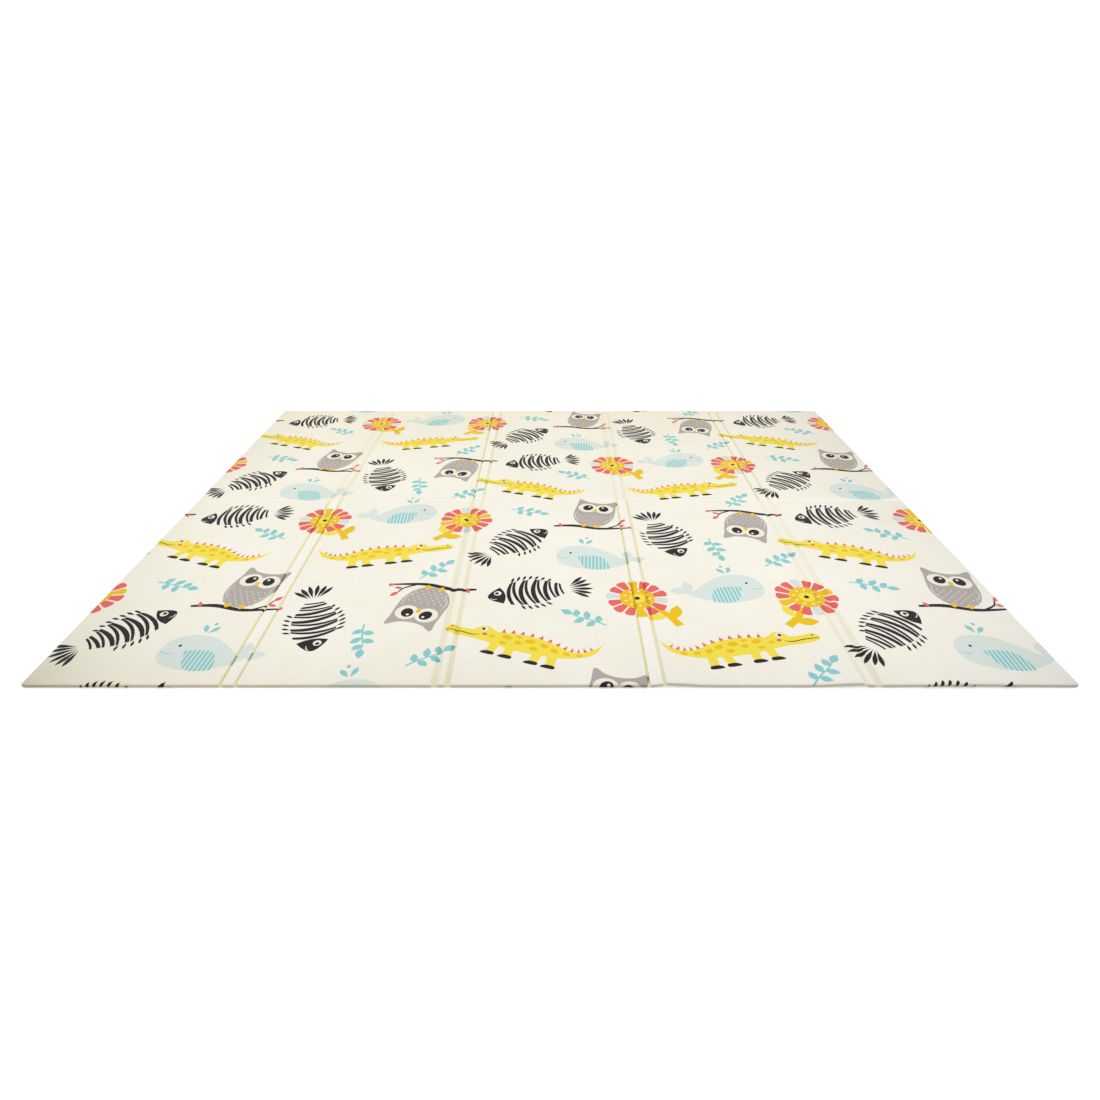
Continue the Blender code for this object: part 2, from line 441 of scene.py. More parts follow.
MOTIFS = {
    "crocodile": crocodile,
    "fish": fish,
    "flower": flower,
    "owl": owl,
    "whale": whale,
    "sprig": sprig,
}
MOTIF_SCALES = {"fish": 0.92}
# The farthest that a motif reaches from its own middle, in metres
MOTIF_REACH = 0.17

# One repeat of the print, with each next column of repeats dropped by half
REPEAT_WIDTH = 80.0
REPEAT_HEIGHT = 72.0
REPEAT_COLUMNS = range(-2, 4)
REPEAT_ROWS = range(-3, 4)
# Where a repeat's corner lies from the middle of the mat, in metres, so that few motifs cross a crisp groove
PRINT_CORNER = (-0.61, -0.37)
# motif, x and y in centimetres from the repeat's corner, turn in degrees, mirrored
REPEAT = (
    ("crocodile", 20, 9, 12, False),
    ("crocodile", 55, 46, -20, True),
    ("fish", 52, 14, 42, False),
    ("fish", 10.5, 54, -74, False),
    ("fish", 57.5, 64.5, 10, True),
    ("flower", 38.5, 26.5, -35, False),
    ("flower", 0.5, 26.0, 38, False),
    ("owl", 73, 29.5, -12, False),
    ("owl", 33, 59.5, 165, False),
    ("whale", 20.5, 29.5, 15, False),
    ("whale", 72, 7, -14, True),
    ("sprig", 34, 1.5, 35, False),
    ("sprig", 55, 31, -30, False),
    ("sprig", 22.5, 47.5, 112, True),
    ("sprig", 37, 42, 20, False),
    ("sprig", 68.5, 54.5, -16, True),
)


def lay_out_print():
    """Each outline of the whole print in metres on the flat film, as (ink, outline, mask)."""
    drawings = {name: make().shapes for name, make in MOTIFS.items()}
    placed = []
    for column in REPEAT_COLUMNS:
        for row in REPEAT_ROWS:
            for name, x, y, turn, mirrored in REPEAT:
                at_x = (x + column * REPEAT_WIDTH) * CENTIMETRE + PRINT_CORNER[0]
                at_y = (y + (row + 0.5 * (column % 2)) * REPEAT_HEIGHT) * CENTIMETRE + PRINT_CORNER[1]
                if abs(at_x) > FILM_X + MOTIF_REACH or abs(at_y) > FILM_Y + MOTIF_REACH:
                    continue
                first = len(placed)
                scale = CENTIMETRE * MOTIF_SCALES.get(name, 1.0)
                for ink, outline, mask in drawings[name]:
                    points = [(-px, py) for px, py in outline] if mirrored else outline
                    points = [(at_x + px * scale, at_y + py * scale) for px, py in turned(points, turn)]
                    placed.append((ink, points, None if mask is None else first + mask))
    return placed


# Form of the slab's faces


def smooth_step(low, high, value):
    """0 up to low, 1 from high on, smooth between."""
    t = np.clip((value - low) / (high - low), 0.0, 1.0)
    return t * t * (3.0 - 2.0 * t)


def groove_lines():
    """(straight x, creep, kinds) of each groove."""
    lines = []
    for spine, grooves in enumerate(SPINE_GROOVES):
        first = (spine + 1) * PANEL_WIDTH + spine * SPINE_WIDTH - WIDTH / 2
        for side, (kinds, creep) in enumerate(grooves):
            lines.append((first + side * SPINE_WIDTH, creep, kinds))
    return lines


def groove_x(line, creep, y):
    """Where a groove's centre lies at each y."""
    return line + MILLIMETRE * np.interp(y, CREEP_PLACES, creep)


def lift(x, y):
    """How far the mat stands off the floor at points of the plan."""
    height = np.zeros_like(x)
    for peak, left, right, rise, reach in FRONT_LIFTS:
        across = np.where(x < peak, (peak - x) / left, (x - peak) / right)
        inward = (y + DEPTH / 2) / reach
        fade = np.cos(math.pi / 2 * np.clip(across, 0.0, 1.0))
        fade = fade * np.cos(math.pi / 2 * np.clip(inward, 0.0, 1.0))
        height = height + rise * fade * fade
    return height


def relief(x, y):
    """(mid height, half thickness, how pressed, how far on a spine strip, painted shade) at points of the
    plan.
    """
    behind = smooth_step(-CHANGE_LENGTH, CHANGE_LENGTH, y - CREASE_PLACE)
    to_crease = np.clip((y + DEPTH / 2) / (DEPTH / 2 + CREASE_PLACE), 0.0, 1.0)
    past_crease = np.clip((y - CREASE_PLACE) / (DEPTH / 2 - CREASE_PLACE), 0.0, 1.0)
    share = np.ones_like(x)
    pressed = np.zeros_like(x)
    strip = np.zeros_like(x)
    shade = np.zeros_like(x)
    centres = []
    for line, creep, kinds in groove_lines():
        floor, narrow, wide, yellow, fine, shaded = (
            (a + (b - a) * to_crease) * (1.0 - behind) + (c + (d - c) * past_crease) * behind
            for a, b, c, d in zip(*(GROOVE_KINDS[kind] for kind in kinds))
        )
        centre = groove_x(line, creep, y)
        centres.append(centre)
        away = np.abs(x - centre)
        rise = smooth_step(narrow, wide, away)
        share = np.minimum(share, floor + (1.0 - floor) * rise)
        lines_at = fine * np.exp(-(((away - PRESS_LINE_AWAY) / PRESS_LINE_SPREAD) ** 2))
        pressed = np.maximum(pressed, np.maximum(yellow * (1.0 - rise), lines_at))
        # painted shade in the groove where it is pressed
        shade = np.maximum(shade, shaded * (1.0 - rise))
    # painted shade in the grooves, deeper towards the front edge
    shade = shade + FRONT_SHADE * pressed * np.exp(-(y + DEPTH / 2) / FRONT_SHADE_LENGTH)
    # Strips take the strip colour, which is partly a painted highlight, and painted shade where they take
    # less of it
    for first, last, (front, back) in zip(centres[::2], centres[1::2], STRIP_COLOUR_SHARES):
        past_first = smooth_step(-STRIP_BLUR, STRIP_BLUR, x - first)
        before_last = smooth_step(-STRIP_BLUR, STRIP_BLUR, last - x)
        on_strip = past_first * before_last
        strip_share = front + (back - front) * behind
        strip = np.maximum(strip, on_strip * strip_share)
        shade = np.maximum(shade, on_strip * (1.0 - strip_share) * STRIP_SHADE)
    crease_away = np.abs(y - CREASE_PLACE)
    crease = CREASE_SHARE + (1.0 - CREASE_SHARE) * smooth_step(0.0, CREASE_HALF_WIDTH, crease_away)
    share = np.minimum(share, crease)
    return HALF_THICKNESS + lift(x, y), HALF_THICKNESS * share, pressed, strip, shade


def edge_shade(x, y):
    """How much painted shade lies at points of the plan, from the edges and corners where the light falls
    off.
    """
    painted_shade = np.zeros_like(x)
    gaps = (x + WIDTH / 2, WIDTH / 2 - x, y + DEPTH / 2, DEPTH / 2 - y)
    for gap, (most, length) in zip(gaps, SHADED_EDGES):
        painted_shade = painted_shade + most * np.exp(-gap / length)
    for at_x, at_y, most, length in SHADED_SPOTS:
        painted_shade = painted_shade + most * np.exp(-np.hypot(x - at_x, y - at_y) / length)
    return painted_shade


def warmth(x, y):
    """How yellowed the film is at points of the plan, most along the back edge."""
    left = WARM_LEFT_SHARE * np.exp(-(x + WIDTH / 2) / WARM_LENGTH)
    return left + np.exp((y - DEPTH / 2) / WARM_LENGTH)


def crease_line(x, y):
    """How much lighter the film is drawn along the cross crease at points of the plan, most on the right."""
    most = CREASE_LINE_LEFT + (CREASE_LINE_RIGHT - CREASE_LINE_LEFT) * smooth_step(*CREASE_LINE_CHANGE, x)
    return most * np.exp(-(((y - CREASE_PLACE) / CREASE_LINE_SPREAD) ** 2))


def lay_film(u, v):
    """Places of flat film points once the film is laid over the slab and turned round its rim."""
    core_x = np.clip(u, -CORE_X, CORE_X)
    core_y = np.clip(v, -CORE_Y, CORE_Y)
    out_x = u - core_x
    out_y = v - core_y
    run = np.hypot(out_x, out_y)
    turn = np.clip((run - FLAT_RUN) / RIM_ROUND, 0.0, math.pi)
    past = np.maximum(run - FLAT_RUN - RIM_RUN, 0.0)
    reach = np.where(run < FLAT_RUN, run, FLAT_RUN + RIM_ROUND * np.sin(turn) - past)
    share = np.divide(reach, run, out=np.ones_like(run), where=run > 0.0)
    x = core_x + out_x * share
    y = core_y + out_y * share
    middle, half, *_ = relief(x, y)
    return np.stack([x, y, middle + half * np.cos(turn)], axis=-1)


def lay_under(x, y):
    """Places of the underside's points."""
    middle, half, *_ = relief(x, y)
    return np.stack([x, y, middle - half], axis=-1)


def facing(place, u, v):
    """Unit normals of the surface that place lays, on the side that faces up where it isn't turned."""
    along_u = place(u + NORMAL_STEP, v) - place(u - NORMAL_STEP, v)
    along_v = place(u, v + NORMAL_STEP) - place(u, v - NORMAL_STEP)
    normal = np.cross(along_u, along_v)
    return normal / np.linalg.norm(normal, axis=-1)[:, None]


# Cutting the film into triangles


class Cut:
    """Points, lines and outlines that a triangulation keeps."""

    def __init__(self):
        self.points = []
        self.edges = []
        self.outlines = []

    def add_points(self, points):
        first = len(self.points)
        self.points += [Vector(point) for point in points]
        return list(range(first, len(self.points)))

    def add_line(self, points):
        kept = self.add_points(points)
        self.edges += list(zip(kept[:-1], kept[1:]))

    def add_loop(self, points):
        kept = self.add_points(points)
        self.edges += list(zip(kept, kept[1:] + kept[:1]))

    def add_outline(self, points):
        area = sum(a[0] * b[1] - b[0] * a[1] for a, b in zip(points, [*points[1:], points[0]]))
        self.outlines.append(self.add_points(points if area > 0 else points[::-1]))

    def triangles(self, nearness):
        """(points, triangles, outlines that hold each triangle, input points that each point was)"""
        made = delaunay_2d_cdt(self.points, self.edges, self.outlines, 0, nearness, True)
        points, _, triangles, were, _, holders = made
        return points, triangles, holders, were


def round_frame(run, step):
    """A rectangle's outline with round corners, this far outside the core rectangle."""
    loop = []
    corners = ((1, 1, 0), (-1, 1, 90), (-1, -1, 180), (1, -1, 270))
    for k, (sign_x, sign_y, start) in enumerate(corners):
        for part in range(CORNER_PARTS + 1):
            angle = math.radians(start + 90 * part / CORNER_PARTS)
            loop.append((sign_x * CORE_X + run * math.cos(angle), sign_y * CORE_Y + run * math.sin(angle)))
        side = 2 * (CORE_X if k % 2 == 0 else CORE_Y)
        parts = math.ceil(side / step)
        x, y = loop[-1]
        angle = math.radians(start + 180)
        for part in range(1, parts):
            away = side * part / parts
            loop.append((x + away * math.cos(angle), y + away * math.sin(angle)))
    return loop


def places_between(low, high, step):
    """Even places from low to high, no farther apart than the step."""
    parts = math.ceil((high - low) / step)
    return [low + (high - low) * part / parts for part in range(parts + 1)]


def groove_places():
    """Places along a groove, closer at the front edge and round the cross crease."""
    front = -DEPTH / 2 + FRONT_REACH
    change_start = CREASE_PLACE - CHANGE_LENGTH
    change_end = CREASE_PLACE + CHANGE_LENGTH
    places = places_between(-FILM_Y, front, FRONT_STEP)
    places += places_between(front, change_start, GROOVE_STEP)[1:]
    places += places_between(change_start, change_end, CREASE_STEP)[1:]
    places += places_between(change_end, FILM_Y, GROOVE_STEP)[1:]
    return places


def free_points(low_y, high_y, step):
    """Points over the panels for the relief to follow, clear of the grooves' own."""
    points = []
    for row, y in enumerate(places_between(low_y, high_y, step)):
        lines = [groove_x(line, creep, y) for line, creep, _ in groove_lines()]
        for x in places_between(-CORE_X + step, CORE_X - step, step):
            x += step / 2 * (row % 2)
            if min(abs(x - line) for line in lines) > GROOVE_OFFSETS[-1] + step / 4:
                points.append((x, y))
    return points


def cut_film(shapes):
    """(flat points, triangles, ink of each) of the printed film."""
    cut = Cut()
    cut.add_outline(round_frame(FLAT_RUN + RIM_RUN, PANEL_STEP))
    for _, outline, _ in shapes:
        cut.add_outline(outline)
    for turn in RIM_TURNS:
        cut.add_loop(round_frame(FLAT_RUN + RIM_ROUND * math.radians(turn), PANEL_STEP))
    for line, creep, _ in groove_lines():
        for offset in {sign * away for away in GROOVE_OFFSETS for sign in (-1, 1)}:
            cut.add_line([(groove_x(line, creep, y) + offset, y) for y in groove_places()])
    for offset in CREASE_OFFSETS:
        cut.add_line([(x, CREASE_PLACE + offset) for x in places_between(-FILM_X, FILM_X, PANEL_STEP)])
    front = -DEPTH / 2 + FRONT_REACH
    cut.add_points(free_points(-CORE_Y, front, FRONT_STEP))
    cut.add_points(free_points(front + PANEL_STEP, CORE_Y, PANEL_STEP))

    points, triangles, holders, _ = cut.triangles(FILM_NEARNESS)
    kept = []
    inks = []
    for triangle, holding in zip(triangles, holders):
        held = set(holding)
        if 0 not in held:
            continue
        ink = "ground"
        for outline in sorted(held - {0}, reverse=True):
            of_shape, _, mask = shapes[outline - 1]
            if of_shape and (mask is None or mask + 1 in held):
                ink = of_shape
                break
        kept.append(triangle)
        inks.append(ink)
    return points, kept, inks


def rim_loop(triangles):
    """The open border of some triangles, as one loop of points."""
    onward = {}
    for triangle in triangles:
        for a, b in zip(triangle, [*triangle[1:], triangle[0]]):
            onward[a, b] = True
    ahead = {a: b for a, b in onward if (b, a) not in onward}
    start = next(iter(ahead))
    loop = [start]
    while ahead[loop[-1]] != start:
        loop.append(ahead[loop[-1]])
    return loop


def cut_underside(rim_places):
    """(plan points, triangles, rim point that each point was) of the underside inside the film's border."""
    cut = Cut()
    cut.add_outline(rim_places)
    for line, creep, _ in groove_lines():
        for offset in {sign * away for away in GROOVE_OFFSETS[::2] for sign in (-1, 1)}:
            places = places_between(-CORE_Y, CORE_Y, UNDER_STEP)
            cut.add_line([(groove_x(line, creep, y) + offset, y) for y in places])
    cut.add_points(free_points(-CORE_Y + UNDER_STEP, CORE_Y - UNDER_STEP, UNDER_STEP))
    points, triangles, holders, were = cut.triangles(UNDER_NEARNESS)
    kept = [triangle for triangle, holding in zip(triangles, holders) if holding]
    return points, kept, were


# The film as a mesh

# Blocks of the bake's map, (left, bottom, width, height): one for the film as it lies, then one an ink
GROUND_BLOCK = (0.0, 0.25, 1.0, 0.75)
BLOCK_COLUMNS = 6
BLOCK_WIDTH = 1 / BLOCK_COLUMNS
BLOCK_HEIGHT = 0.125
BLOCK_INSET = 0.002
# Ink that is pressed more than this is baked with the ground
LEAST_PRESSED = 0.02
INK_ORDER = (
    "ground",
    "yellow",
    "amber",
    "coral",
    "charcoal",
    "grey",
    "aqua",
    "pale",
    "sky",
    "milk",
    "speckle",
    "underside",
)


def map_block(ink):
    """(left, bottom, width, height) of an ink's block, a little inside its border."""
    if ink == "ground":
        left, bottom, width, height = GROUND_BLOCK
    else:
        row, column = divmod(INK_ORDER.index(ink) - 1, BLOCK_COLUMNS)
        left = column * BLOCK_WIDTH
        bottom = row * BLOCK_HEIGHT
        width = BLOCK_WIDTH
        height = BLOCK_HEIGHT
    return left + BLOCK_INSET, bottom + BLOCK_INSET, width - 2 * BLOCK_INSET, height - 2 * BLOCK_INSET


def map_places(flat, triangles, inks, pressed):
    """Places on the bake's map of each triangle's corners. Ink in a groove stays with the ground."""
    share = (flat + (FILM_X, FILM_Y)) / (2 * FILM_X, 2 * FILM_Y)
    in_groove = pressed[triangles].max(axis=1) > LEAST_PRESSED
    blocks = {ink: map_block(ink) for ink in INK_ORDER}
    chosen = []
    for ink, groove in zip(inks, in_groove):
        chosen.append(blocks["ground"] if groove and ink != "underside" else blocks[ink])
    chosen = np.array(chosen)[:, None, :]
    return chosen[:, :, :2] + share[triangles] * chosen[:, :, 2:]


def close_underside(top, places):
    """(faces of the underside, its own points) once it shares the border of the film's top."""
    border = rim_loop(top.tolist())
    points, triangles, were = cut_underside([tuple(places[k, :2]) for k in border])
    number = []
    added = []
    for point, was in zip(points, were):
        on_border = [k for k in was if k < len(border)]
        if on_border:
            number.append(border[on_border[0]])
        else:
            number.append(len(places) + len(added))
            added.append((point[0], point[1]))
    return np.array(number)[np.array(triangles)][:, ::-1], np.array(added)


def marks(flat, places, top_count):
    """What the materials read at each point: how pressed it is, how much strip colour, painted shade and
    yellowing, the lighter crease line, and the painted shade of the rim.
    """
    x, y, _ = places.T
    _, _, pressed, strip, shade = relief(x, y)
    past_x = np.maximum(np.abs(flat[:, 0]) - CORE_X, 0.0)
    past_y = np.maximum(np.abs(flat[:, 1]) - CORE_Y, 0.0)
    turn = np.degrees((np.hypot(past_x, past_y) - FLAT_RUN) / RIM_ROUND)
    # painted shade on the rim's face, spared where a groove meets it as a painted highlight
    rim = smooth_step(*RIM_SHADE_TURNS, turn)
    rim *= 1.0 - RIM_SPARED * np.clip(pressed / RIM_SPARED_PRESSED, 0.0, 1.0)
    rim[top_count:] = 0.0
    return {
        "pressed": pressed,
        "strip": strip,
        "painted_shade": edge_shade(x, y) + shade,
        "warm": warmth(x, y),
        "crease_line": crease_line(x, y),
        "rim": rim,
    }


def make_film(materials):
    """The closed film: its printed top turned round the rim, and a plain underside that shares its border."""
    points, triangles, inks = cut_film(lay_out_print())
    flat = np.array([(point[0], point[1]) for point in points])
    used, top = np.unique(np.array(triangles), return_inverse=True)
    top = top.reshape(-1, 3)
    flat = flat[used]
    places = lay_film(flat[:, 0], flat[:, 1])
    normals = facing(lay_film, flat[:, 0], flat[:, 1])

    under, added = close_underside(top, places)
    top_count = len(places)
    flat = np.concatenate([flat, added])
    places = np.concatenate([places, lay_under(added[:, 0], added[:, 1])])
    normals = np.concatenate([normals, -facing(lay_under, added[:, 0], added[:, 1])])
    faces = np.concatenate([top, under])
    inks += ["underside"] * len(under)

    mesh = bpy.data.meshes.new("mat_film")
    mesh.from_pydata(places, [], faces.tolist())
    for ink in INK_ORDER:
        mesh.materials.append(materials[ink])
    mesh.polygons.foreach_set("material_index", [INK_ORDER.index(ink) for ink in inks])
    mesh.polygons.foreach_set("use_smooth", [True] * len(faces))
    kept = marks(flat, places, top_count)
    for name, values in kept.items():
        mesh.attributes.new(name, "FLOAT", "POINT").data.foreach_set("value", values)
    bake_map = mesh.uv_layers.new(name="OFBake")
    bake_map.data.foreach_set("uv", map_places(flat, faces, inks, kept["pressed"]).ravel())
    mesh.update()
    mesh.normals_split_custom_set_from_vertices(normals)

    film = bpy.data.objects.new("mat_film", mesh)
    bpy.context.scene.collection.objects.link(film)
    return film


# Materials

# ink as seen, and where it is pressed into a groove, in sRGB
INK_COLOURS = {
    "ground": ((248, 245, 235), (246, 237, 167)),
    "yellow": ((247, 228, 86), (222, 188, 34)),
    "amber": ((243, 199, 10), (216, 160, 24)),
    "coral": ((237, 112, 104), (206, 84, 62)),
    "charcoal": ((57, 50, 56), (34, 28, 28)),
    "grey": ((182, 174, 171), (116, 102, 90)),
    "aqua": ((146, 209, 214), (64, 140, 112)),
    "pale": ((222, 233, 229), (148, 184, 150)),
    "sky": ((214, 229, 227), (138, 176, 148)),
    "milk": ((244, 241, 227), (233, 222, 160)),
    "speckle": ((222, 218, 210), (196, 182, 132)),
    "underside": ((238, 236, 226), (228, 220, 180)),
}
# A spine strip's own less yellow film, made whiter as a painted highlight along its lips
STRIP_FILM_AND_HIGHLIGHT = (248, 246, 237)
# Painted shade on the rim: what it multiplies by at its left and right end, and from which turn to which, in
# degrees
RIM_SHADE_LEFT = (0.54, 0.50, 0.36, 1.0)
RIM_SHADE_RIGHT = (0.47, 0.48, 0.43, 1.0)
RIM_SHADE_TURNS = (25, 85)
# What share of that painted shade a groove is spared, as a painted highlight where its fold meets the rim,
# and how pressed it is there
RIM_SPARED = 0.8
RIM_SPARED_PRESSED = 0.5
# Painted shade, darker towards the edges where the light falls off: what it multiplies by at its left and
# right end, and for the left, right, front and back edge how much there and over what length it fades
SHADE_TINT_LEFT = (0.40, 0.39, 0.27, 1.0)
SHADE_TINT_RIGHT = (0.40, 0.40, 0.45, 1.0)
SHADED_EDGES = ((0.13, 0.10), (0.20, 0.16), (0.16, 0.10), (0.10, 0.34))
# Spots of painted shade, darkest at the front left corner: x and y from the middle, how much, and over what
# length it fades
SHADED_SPOTS = (
    (-1.00, -0.75, 0.42, 0.15),
    (1.00, -0.75, 0.10, 0.12),
    (0.88, 0.45, 0.10, 0.22),
)
# Yellowing of the back edge, over what length it fades, and what share of it the left edge has
WARM_TINT = (1.0, 0.982, 0.90, 1.0)
WARM_LENGTH = 0.42
WARM_LEFT_SHARE = 0.10
# A lighter line along the cross crease: its share on the left and on the right, from which x to which that
# changes, and how far the line spreads
CREASE_LINE_TINT = (0.93, 0.93, 0.92, 1.0)
CREASE_LINE_LEFT = 0.17
CREASE_LINE_RIGHT = 0.42
CREASE_LINE_CHANGE = (0.46, 0.90)
CREASE_LINE_SPREAD = 0.0045
# How much brighter than its base colour a surface is seen here, what the film's sheen adds, and the least
# base colour
LIGHT_GAIN = 1.14
SHEEN_LIGHT = 0.018
LEAST_COLOUR = 0.002

# Squares pressed into the film: their pitch and depth, and the groove between them, from its floor to its
# lip, in shares of half the pitch
EMBOSS_PITCH = 0.007
EMBOSS_DEPTH = 0.00014
EMBOSS_GROOVE = (0.08, 0.50)
# How pressed a hinge groove is where the squares are gone
EMBOSS_GONE = 0.3
# What the lines between the squares multiply by: painted shade in them
EMBOSS_LINE_SHADE = (0.972, 0.968, 0.960, 1.0)
# Patches to a metre where those lines show more or less, and their shares there
EMBOSS_PATCH_SCALE = 7.0
EMBOSS_SHOWN = (0.35, 1.0)
GRAIN_SCALE = 1400.0
GRAIN_DEPTH = 0.00002
# Slow changes of tone: how many to a metre, and the brightness of the darker and the lighter ones
TONE_SCALE = 2.6
TONE_GAINS = (0.978, 1.013)
# Small blotches of the film: how many to a metre, and what the yellower ones multiply by
BLOTCH_SCALE = 38.0
BLOTCH_TINT = (0.993, 0.991, 0.979, 1.0)
# Wider patches that are a little yellower: how many to a metre, and what they multiply by
PATCH_SCALE = 13.0
PATCH_TINT = (1.0, 0.994, 0.960, 1.0)
# Uneven yellowing along the grooves: how many patches to a metre, and their shares
MOTTLE_SCALE = 60.0
MOTTLE_SHARES = (0.75, 1.0)
# From which to which value of the noise soft and hard patches change
SOFT_PATCHES = (0.3, 0.7)
HARD_PATCHES = (0.35, 0.65)
# Roughness of the smoother and the rougher patches, how many to a metre, and what a groove adds to it
FILM_ROUGHNESS = (0.44, 0.56)
ROUGHNESS_SCALE = 18.0
GROOVE_ROUGHNESS = -0.08
FILM_SPECULAR = 0.10


def albedo(seen, gain=1.0):
    """Linear base colour for an sRGB colour seen under this scene's light."""
    linear = []
    for value in seen:
        share = value / 255
        share = share / 12.92 if share <= 0.04045 else ((share + 0.055) / 1.055) ** 2.4
        linear.append(max(LEAST_COLOUR, (share * gain - SHEEN_LIGHT) / LIGHT_GAIN))
    return (*linear, 1.0)


class Nodes:
    """Adds nodes to a material's tree in few words."""

    def __init__(self, material):
        material.use_nodes = True
        self.tree = material.node_tree
        self.shader = self.tree.nodes["Principled BSDF"]

    def add(self, kind, **values):
        """A new node with these settings."""
        node = self.tree.nodes.new(kind)
        for name, value in values.items():
            setattr(node, name, value)
        return node

    def join(self, source, target):
        """Links an output to an input."""
        self.tree.links.new(source, target)

    def maths(self, operation, first, second=None, third=None):
        """One step of arithmetic on numbers or outputs."""
        node = self.add("ShaderNodeMath", operation=operation)
        for socket, value in zip(node.inputs, (first, second, third)):
            if value is None:
                continue
            if isinstance(value, (int, float)):
                socket.default_value = value
            else:
                self.join(value, socket)
        return node.outputs[0]

    def ramp(self, value, low, high, to_low, to_high):
        """A smooth change from one value to another."""
        node = self.add("ShaderNodeMapRange", interpolation_type="SMOOTHSTEP")
        self.join(value, node.inputs["Value"])
        node.inputs["From Min"].default_value = low
        node.inputs["From Max"].default_value = high
        node.inputs["To Min"].default_value = to_low
        node.inputs["To Max"].default_value = to_high
        return node.outputs["Result"]

    def noise(self, where, scale, detail=2.0):
        """Noise from 0 to 1 with this many lumps to a metre."""
        node = self.add("ShaderNodeTexNoise")
        self.join(where, node.inputs["Vector"])
        node.inputs["Scale"].default_value = scale
        node.inputs["Detail"].default_value = detail
        return node.outputs["Fac"]

    def patches(self, where, scale, detail=2.0, change=SOFT_PATCHES, shares=(0.0, 1.0)):
        """Patches of the one and the other share, this many to a metre."""
        return self.ramp(self.noise(where, scale, detail), *change, *shares)

    def mix(self, share, first, second, blend="MIX"):
        """The first colour blended with the second by a share."""
        node = self.add("ShaderNodeMix", data_type="RGBA", blend_type=blend)
        self.join(share, node.inputs["Factor"])
        for socket, colour in ((node.inputs[6], first), (node.inputs[7], second)):
            if isinstance(colour, tuple):
                socket.default_value = colour
            else:
                self.join(colour, socket)
        return node.outputs[2]

    def attribute(self, name):
        """One of the film's marks."""
        return self.add("ShaderNodeAttribute", attribute_name=name).outputs["Fac"]


def film_colour(nodes, ink, where, x, pressed):
    """An ink with changes of tone, yellowed grooves, painted shade towards the edges and in the grooves, the
    lighter crease line and the painted shade of the rim.
    """
    seen, in_groove = INK_COLOURS[ink]
    tone = nodes.patches(where, TONE_SCALE, 3.0)
    colour = nodes.mix(tone, *(albedo(seen, gain) for gain in TONE_GAINS))
    colour = nodes.mix(nodes.patches(where, BLOTCH_SCALE), colour, BLOTCH_TINT, "MULTIPLY")
    colour = nodes.mix(nodes.patches(where, PATCH_SCALE), colour, PATCH_TINT, "MULTIPLY")
    if ink == "ground":
        # the strip colour, partly a painted highlight along the lips
        colour = nodes.mix(nodes.attribute("strip"), colour, albedo(STRIP_FILM_AND_HIGHLIGHT))
    mottle = nodes.patches(where, MOTTLE_SCALE, change=HARD_PATCHES, shares=MOTTLE_SHARES)
    colour = nodes.mix(nodes.maths("MULTIPLY", pressed, mottle), colour, albedo(in_groove))
    rightward = nodes.ramp(x, -WIDTH / 2, WIDTH / 2, 0.0, 1.0)
    # Painted shade towards the edges and corners, in the grooves and on some spine strips
    shade_tint = nodes.mix(rightward, SHADE_TINT_LEFT, SHADE_TINT_RIGHT)
    colour = nodes.mix(nodes.attribute("painted_shade"), colour, shade_tint, "MULTIPLY")
    colour = nodes.mix(nodes.attribute("warm"), colour, WARM_TINT, "MULTIPLY")
    # a lighter line along the cross crease
    colour = nodes.mix(nodes.attribute("crease_line"), colour, CREASE_LINE_TINT)
    # painted shade on the rim
    rim_shade = nodes.mix(rightward, RIM_SHADE_LEFT, RIM_SHADE_RIGHT)
    return nodes.mix(nodes.attribute("rim"), colour, rim_shade, "MULTIPLY")


def film_material(ink):
    """Matt printed film: small embossed squares, fine grain, slow changes of tone, yellowed grooves."""
    material = bpy.data.materials.new("film_" + ink)
    nodes = Nodes(material)
    where = nodes.add("ShaderNodeTexCoord").outputs["Object"]
    split = nodes.add("ShaderNodeSeparateXYZ")
    nodes.join(where, split.inputs[0])
    pressed = nodes.attribute("pressed")
    colour = film_colour(nodes, ink, where, split.outputs["X"], pressed)

    half = EMBOSS_PITCH / 2
    across = nodes.maths("PINGPONG", split.outputs["X"], half)
    along = nodes.maths("PINGPONG", split.outputs["Y"], half)
    floor, lip = (half * share for share in EMBOSS_GROOVE)
    square = nodes.ramp(nodes.maths("MINIMUM", across, along), floor, lip, 0.0, 1.0)
    shown = nodes.patches(where, EMBOSS_PATCH_SCALE, change=HARD_PATCHES, shares=EMBOSS_SHOWN)
    # painted shade in the lines between the squares
    line = nodes.maths("MULTIPLY", nodes.maths("SUBTRACT", 1.0, square), shown)
    colour = nodes.mix(line, colour, EMBOSS_LINE_SHADE, "MULTIPLY")
    nodes.join(colour, nodes.shader.inputs["Base Color"])

    grain = nodes.noise(where, GRAIN_SCALE, 1.0)
    height = nodes.maths("MULTIPLY", square, nodes.ramp(pressed, 0.0, EMBOSS_GONE, EMBOSS_DEPTH, 0.0))
    height = nodes.maths("MULTIPLY_ADD", grain, GRAIN_DEPTH, height)
    bump = nodes.add("ShaderNodeBump")
    bump.inputs["Distance"].default_value = 1.0
    bump.inputs["Strength"].default_value = 1.0
    nodes.join(height, bump.inputs["Height"])
    nodes.join(bump.outputs["Normal"], nodes.shader.inputs["Normal"])

    rough = nodes.patches(where, ROUGHNESS_SCALE, 4.0, shares=FILM_ROUGHNESS)
    rough = nodes.maths("MULTIPLY_ADD", pressed, GROOVE_ROUGHNESS, rough)
    nodes.join(rough, nodes.shader.inputs["Roughness"])
    nodes.shader.inputs["Specular IOR Level"].default_value = FILM_SPECULAR
    return material


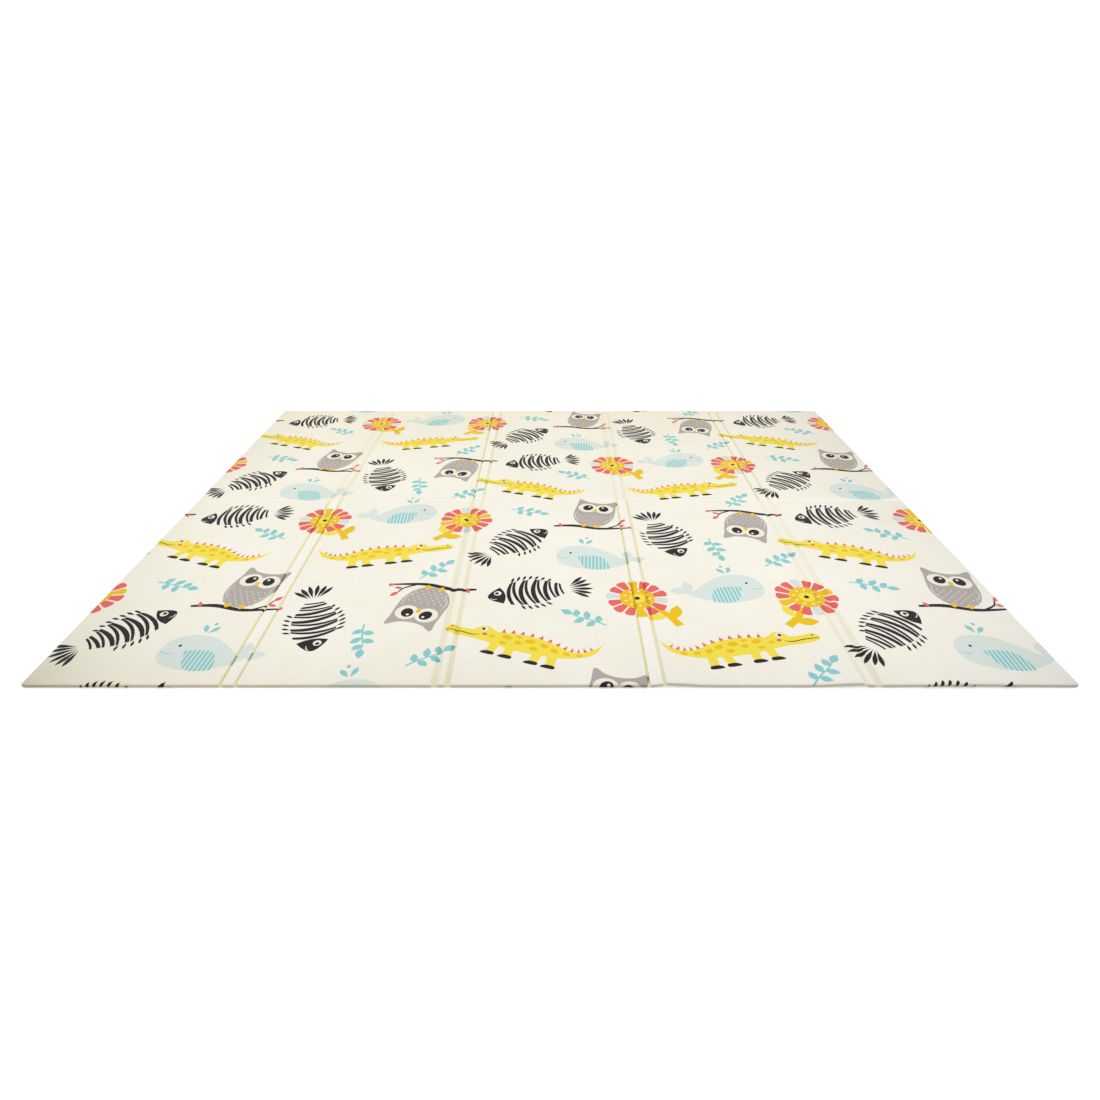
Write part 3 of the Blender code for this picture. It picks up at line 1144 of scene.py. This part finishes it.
film = make_film({ink: film_material(ink) for ink in INK_ORDER})
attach(film, "root")
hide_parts("mat")


# Floor, light and camera

FLOOR_SIZE = 60.0
FLOOR_COLOUR = (0.95, 0.95, 0.95, 1.0)
FLOOR_ROUGHNESS = 0.9
FLOOR_SPECULAR = 0.1
# The floor's own light, which keeps the contact shadow faint
FLOOR_GLOW = 0.26
WHITE = (1.0, 1.0, 1.0, 1.0)
SKY_STRENGTH = 1.05
# name, place, size and power of each lamp, all turned to the middle of the mat
LAMPS = (
    ("light_left", (-3.2, -0.6, 2.4), 2.4, 10),
    ("light_right", (3.2, -0.6, 2.4), 2.4, 10),
    ("light_top", (0.0, 0.8, 3.4), 3.0, 10),
)
CAMERA_PLACE = (0.0, -1.710, 0.890)
CAMERA_DOWN = 31.3
CAMERA_LENS = 22.21
CAMERA_SENSOR = 36.0


def make_floor():
    """A plain white floor."""
    mesh = bpy.data.meshes.new("floor")
    half = FLOOR_SIZE / 2
    corners = [(-half, -half, 0), (half, -half, 0), (half, half, 0), (-half, half, 0)]
    mesh.from_pydata(corners, [], [(0, 1, 2, 3)])
    material = bpy.data.materials.new("floor_white")
    shader = Nodes(material).shader
    shader.inputs["Base Color"].default_value = FLOOR_COLOUR
    shader.inputs["Emission Color"].default_value = WHITE
    shader.inputs["Emission Strength"].default_value = FLOOR_GLOW
    shader.inputs["Roughness"].default_value = FLOOR_ROUGHNESS
    shader.inputs["Specular IOR Level"].default_value = FLOOR_SPECULAR
    mesh.materials.append(material)
    floor = bpy.data.objects.new("floor", mesh)
    bpy.context.scene.collection.objects.link(floor)
    return floor


def make_light(name, place, size, power):
    """A square soft light turned to the middle of the mat."""
    light = bpy.data.lights.new(name, "AREA")
    light.shape = "SQUARE"
    light.size = size
    light.energy = power
    lamp = bpy.data.objects.new(name, light)
    lamp.location = place
    lamp.rotation_mode = "QUATERNION"
    lamp.rotation_quaternion = (-Vector(place)).to_track_quat("-Z", "Y")
    bpy.context.scene.collection.objects.link(lamp)


make_floor()
for name, place, size, power in LAMPS:
    make_light(name, place, size, power)

world = bpy.data.worlds.new("studio")
world.use_nodes = True
world.node_tree.nodes["Background"].inputs["Color"].default_value = WHITE
world.node_tree.nodes["Background"].inputs["Strength"].default_value = SKY_STRENGTH
bpy.context.scene.world = world
bpy.context.scene.view_settings.view_transform = "Standard"

camera_data = bpy.data.cameras.new("camera")
camera_data.lens = CAMERA_LENS
camera_data.sensor_width = CAMERA_SENSOR
camera = bpy.data.objects.new("camera", camera_data)
camera.location = CAMERA_PLACE
camera.rotation_euler = (math.radians(90 - CAMERA_DOWN), 0.0, 0.0)
bpy.context.scene.collection.objects.link(camera)
bpy.context.scene.camera = camera
